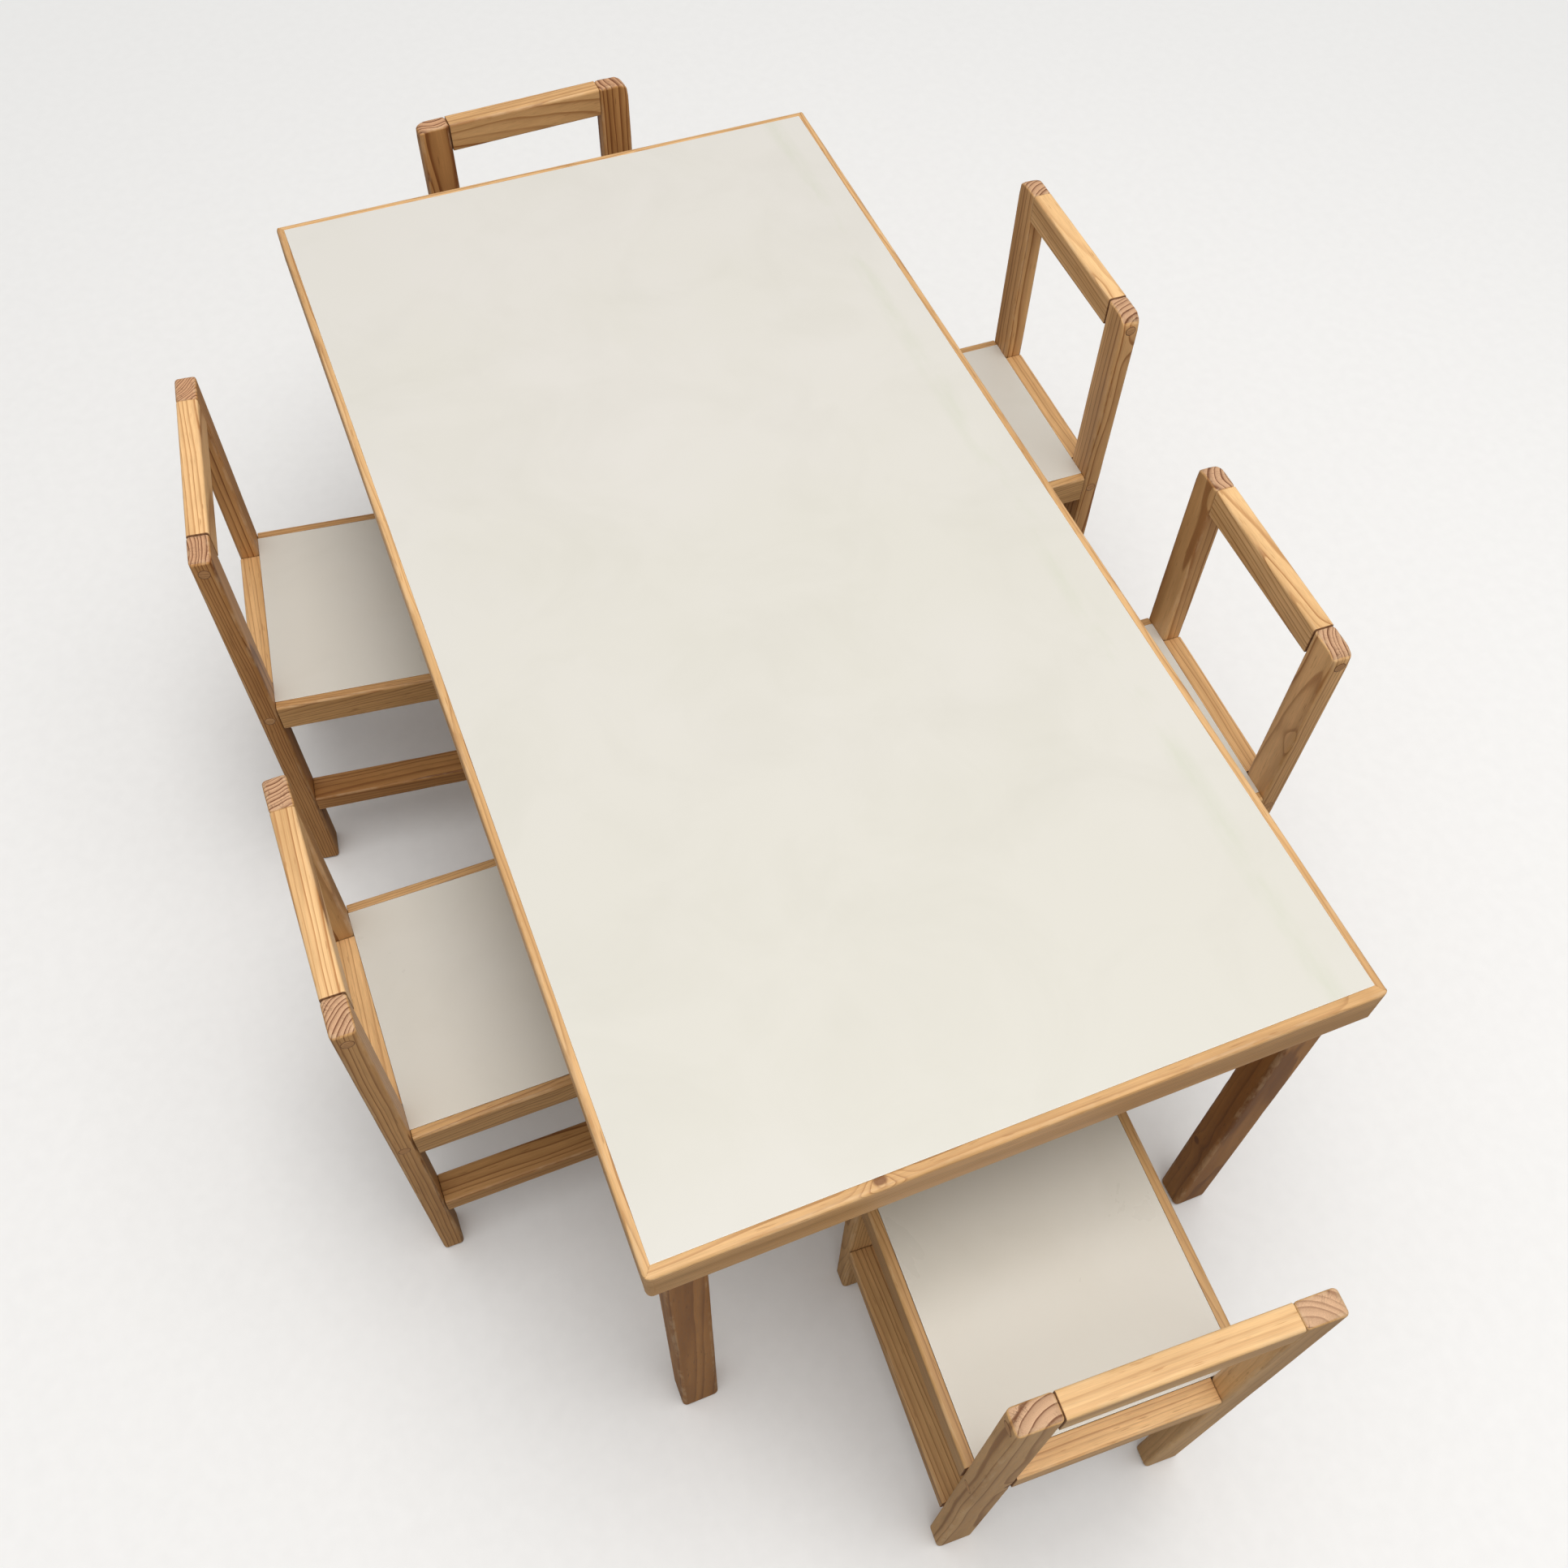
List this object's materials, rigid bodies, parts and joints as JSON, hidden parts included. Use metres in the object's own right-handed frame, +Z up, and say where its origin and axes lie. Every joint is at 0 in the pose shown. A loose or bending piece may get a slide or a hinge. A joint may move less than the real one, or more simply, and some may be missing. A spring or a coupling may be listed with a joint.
{
  "type": "kids table and chairs",
  "caption": "Low rectangular play table with a pale laminate top in a pine frame, with matching small pine chairs drawn up along its sides and at both ends.",
  "frame": {"origin": "on the floor, in the middle of the whole set's footprint", "axes": "+X along the table towards its near end, +Y across it towards its right side, +Z up"},
  "size_m": [1.5136, 0.9628, 0.507],
  "materials": {
    "pine": "clear lacquered pine, satin",
    "laminate": "matt off-white laminate",
    "dowel_wood": "lacquered wood plugs and dowels",
    "steel": "zinc-plated wood screws"
  },
  "bodies": {
    "table": {"table_top_panel": "laminate", "table_near_rail": "pine", "table_far_rail": "pine", "table_left_rail": "pine", "table_right_rail": "pine", "table_leg_near_left": "pine", "table_leg_near_right": "pine", "table_leg_far_left": "pine", "table_leg_far_right": "pine", "table_battens": "pine", "table_corner_blocks": "pine", "table_fasteners": "steel"},
    "chair_far": {"chair_far_rear_posts": "pine", "chair_far_front_legs": "pine", "chair_far_back_rail": "pine", "chair_far_seat_frame": "pine", "chair_far_stretchers": "pine", "chair_far_seat_panel": "laminate", "chair_far_screws": "steel", "chair_far_plugs_and_dowels": "dowel_wood"},
    "chair_left_far": {"chair_left_far_rear_posts": "pine", "chair_left_far_front_legs": "pine", "chair_left_far_back_rail": "pine", "chair_left_far_seat_frame": "pine", "chair_left_far_stretchers": "pine", "chair_left_far_seat_panel": "laminate", "chair_left_far_screws": "steel", "chair_left_far_plugs_and_dowels": "dowel_wood"},
    "chair_left_near": {"chair_left_near_rear_posts": "pine", "chair_left_near_front_legs": "pine", "chair_left_near_back_rail": "pine", "chair_left_near_seat_frame": "pine", "chair_left_near_stretchers": "pine", "chair_left_near_seat_panel": "laminate", "chair_left_near_screws": "steel", "chair_left_near_plugs_and_dowels": "dowel_wood"},
    "chair_right_far": {"chair_right_far_rear_posts": "pine", "chair_right_far_front_legs": "pine", "chair_right_far_back_rail": "pine", "chair_right_far_seat_frame": "pine", "chair_right_far_stretchers": "pine", "chair_right_far_seat_panel": "laminate", "chair_right_far_screws": "steel", "chair_right_far_plugs_and_dowels": "dowel_wood"},
    "chair_right_near": {"chair_right_near_rear_posts": "pine", "chair_right_near_front_legs": "pine", "chair_right_near_back_rail": "pine", "chair_right_near_seat_frame": "pine", "chair_right_near_stretchers": "pine", "chair_right_near_seat_panel": "laminate", "chair_right_near_screws": "steel", "chair_right_near_plugs_and_dowels": "dowel_wood"},
    "chair_near": {"chair_near_rear_posts": "pine", "chair_near_front_legs": "pine", "chair_near_back_rail": "pine", "chair_near_seat_frame": "pine", "chair_near_stretchers": "pine", "chair_near_seat_panel": "laminate", "chair_near_screws": "steel", "chair_near_plugs_and_dowels": "dowel_wood"}
  },
  "joints": [
    {"name": "chair_far_slide", "type": "slide", "parent": "table", "child": "chair_far", "axis": [0.9992, 0.0401, 0], "range_m": [-0.3, 0.035]},
    {"name": "chair_left_far_slide", "type": "slide", "parent": "table", "child": "chair_left_far", "axis": [0.1253, 0.9921, 0], "range_m": [-0.3, 0.09]},
    {"name": "chair_left_near_slide", "type": "slide", "parent": "table", "child": "chair_left_near", "axis": [0, 1, 0], "range_m": [-0.3, 0.11]},
    {"name": "chair_right_far_slide", "type": "slide", "parent": "table", "child": "chair_right_far", "axis": [-0.0175, -0.9998, 0], "range_m": [-0.3, 0.11]},
    {"name": "chair_right_near_slide", "type": "slide", "parent": "table", "child": "chair_right_near", "axis": [-0.0244, -0.9997, 0], "range_m": [-0.3, 0.1]},
    {"name": "chair_near_slide", "type": "slide", "parent": "table", "child": "chair_near", "axis": [-0.9989, 0.0471, 0], "range_m": [-0.3, 0.1]}
  ]
}
